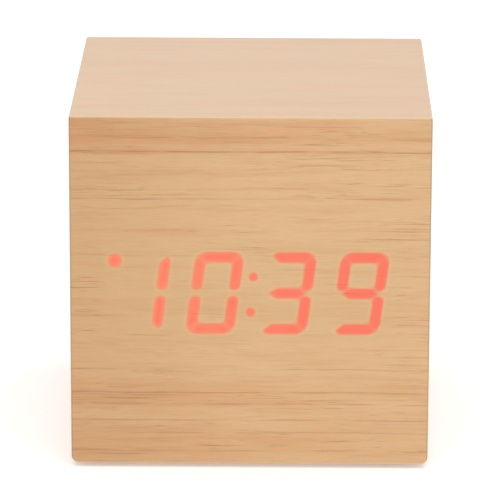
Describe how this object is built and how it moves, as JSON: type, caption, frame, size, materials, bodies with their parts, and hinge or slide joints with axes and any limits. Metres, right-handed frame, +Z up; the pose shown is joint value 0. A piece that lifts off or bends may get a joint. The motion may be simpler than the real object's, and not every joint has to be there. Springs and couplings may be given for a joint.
{
  "type": "alarm clock",
  "caption": "Cube alarm clock in light wood-grain foil; red digits shine through the plain front; buttons, power socket and battery door at the back.",
  "frame": {"origin": "centre of the footprint, on the surface the feet stand on", "axes": "+Z up, +X to the right seen from the front, the front with the digits faces -Y"},
  "size_m": [0.062, 0.062, 0.0628],
  "materials": {
    "oak_foil": "satin printed wood-grain foil",
    "lit_foil": "wood-grain foil with light shining through",
    "fibreboard": "raw medium-density fibreboard",
    "glue_block": "sawn softwood",
    "rubber_foot": "matt rubber",
    "black_plastic": "fine moulded texture",
    "button_plastic": "smooth satin plastic",
    "smoked_film": "diffusing film",
    "white_plastic": "moulded white plastic",
    "light_guide": "translucent red resin",
    "dark_light_guide": "translucent red resin, unlit",
    "led_chip": "clear resin over a gold lead frame",
    "circuit_board": "green solder resist",
    "bare_steel": "zinc-plated steel",
    "tinned_metal": "tinned metal",
    "nickel_plate": "nickel-plated spring steel",
    "chip_plastic": "black epoxy",
    "can_sleeve": "dark shrink sleeve",
    "resistor_body": "black ceramic chip",
    "grey_wire": "vinyl insulation",
    "red_wire": "vinyl insulation",
    "black_wire": "vinyl insulation",
    "white_paint": "pad-printed white paint",
    "cell_wrap": "plain printed wrap on a steel can"
  },
  "bodies": {
    "casing": {"front_veneer": "oak_foil", "case_veneer": "oak_foil", "lit_marks": "lit_foil", "front_board": "fibreboard", "top_board": "fibreboard", "right_board": "fibreboard", "bottom_board": "fibreboard", "left_board": "fibreboard", "corner_blocks": "glue_block", "feet": "rubber_foot", "light_film": "smoked_film", "display_housing": "white_plastic", "lit_light_guides": "light_guide", "dark_light_guides": "dark_light_guide", "led_chips": "led_chip", "display_pins": "tinned_metal", "display_circuit_board": "circuit_board", "board_spacers": "white_plastic", "board_screws": "bare_steel", "microcontroller": "chip_plastic", "microcontroller_legs": "tinned_metal", "buzzer": "chip_plastic", "microphone": "tinned_metal", "capacitors": "can_sleeve", "clock_crystal": "tinned_metal", "temperature_sensor": "chip_plastic", "resistors": "resistor_body", "transistors": "chip_plastic", "front_connector": "white_plastic", "rear_connector": "white_plastic", "battery_connector": "white_plastic", "ribbon_cable": "grey_wire", "battery_lead_red": "red_wire", "battery_lead_black": "black_wire", "back_cover": "black_plastic", "cover_screws": "bare_steel", "contact_plates": "nickel_plate", "contact_springs": "nickel_plate", "rear_circuit_board": "circuit_board", "rear_board_screws": "bare_steel", "switch_bodies": "chip_plastic", "power_socket_shell": "tinned_metal", "power_socket_tongue": "chip_plastic", "button_symbols": "white_paint", "battery_cell_1": "cell_wrap", "battery_cell_2": "cell_wrap", "battery_cell_3": "cell_wrap"},
    "battery_door": {"battery_door": "black_plastic"},
    "door_latch": {"door_latch": "black_plastic"},
    "set_button": {"set_button": "button_plastic", "set_plunger": "white_plastic"},
    "up_button": {"up_button": "button_plastic", "up_plunger": "white_plastic"},
    "down_button": {"down_button": "button_plastic", "down_plunger": "white_plastic"}
  },
  "joints": [
    {"name": "door_hinge", "type": "hinge", "parent": "casing", "child": "battery_door", "pos_m": [0, 0.02925, 0.0459], "axis": [1, 0, 0], "range_deg": [0, 100]},
    {"name": "latch_flex", "type": "hinge", "parent": "battery_door", "child": "door_latch", "pos_m": [0, 0.02565, 0.0101], "axis": [1, 0, 0], "range_deg": [0, 10], "stiffness_Nm_per_rad": 0.15},
    {"name": "set_press", "type": "slide", "parent": "casing", "child": "set_button", "axis": [0, -1, 0], "range_m": [0, 0.0004], "stiffness_N_per_m": 1500},
    {"name": "up_press", "type": "slide", "parent": "casing", "child": "up_button", "axis": [0, -1, 0], "range_m": [0, 0.0004], "stiffness_N_per_m": 1500},
    {"name": "down_press", "type": "slide", "parent": "casing", "child": "down_button", "axis": [0, -1, 0], "range_m": [0, 0.0004], "stiffness_N_per_m": 1500}
  ]
}
